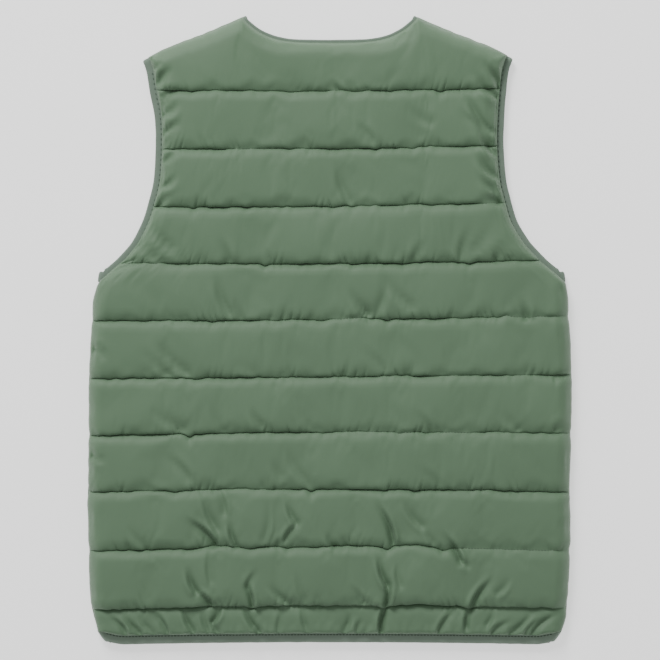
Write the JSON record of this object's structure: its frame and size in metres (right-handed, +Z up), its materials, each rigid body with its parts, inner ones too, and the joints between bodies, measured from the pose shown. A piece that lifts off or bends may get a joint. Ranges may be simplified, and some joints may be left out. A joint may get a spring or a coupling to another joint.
{
  "type": "quilted vest",
  "caption": "Collarless quilted vest with elastic tape at the armholes, neck and hem, laid flat on its front with its back up.",
  "frame": {"origin": "on the surface that the vest lies on, below the middle of its outline", "axes": "+Y from the hem to the neck, +Z up out of the back, +X to the wearer's right"},
  "size_m": [0.5237, 0.6801, 0.0267],
  "materials": {
    "shell_cloth": "plain-woven nylon with a soft sheen, padded and quilted",
    "elastic_tape": "matt elastic tape",
    "stud_plastic": "satin moulded plastic"
  },
  "bodies": {
    "root": {"back_panel": "shell_cloth", "front_left": "shell_cloth", "front_right": "shell_cloth", "placket_left": "shell_cloth", "placket_right": "shell_cloth", "armhole_tape_left": "elastic_tape", "armhole_tape_right": "elastic_tape", "hem_tape": "elastic_tape", "neck_tape": "elastic_tape", "stud_cap_1": "stud_plastic", "stud_cap_2": "stud_plastic", "stud_cap_3": "stud_plastic", "stud_cap_4": "stud_plastic", "stud_cap_5": "stud_plastic"}
  },
  "joints": []
}
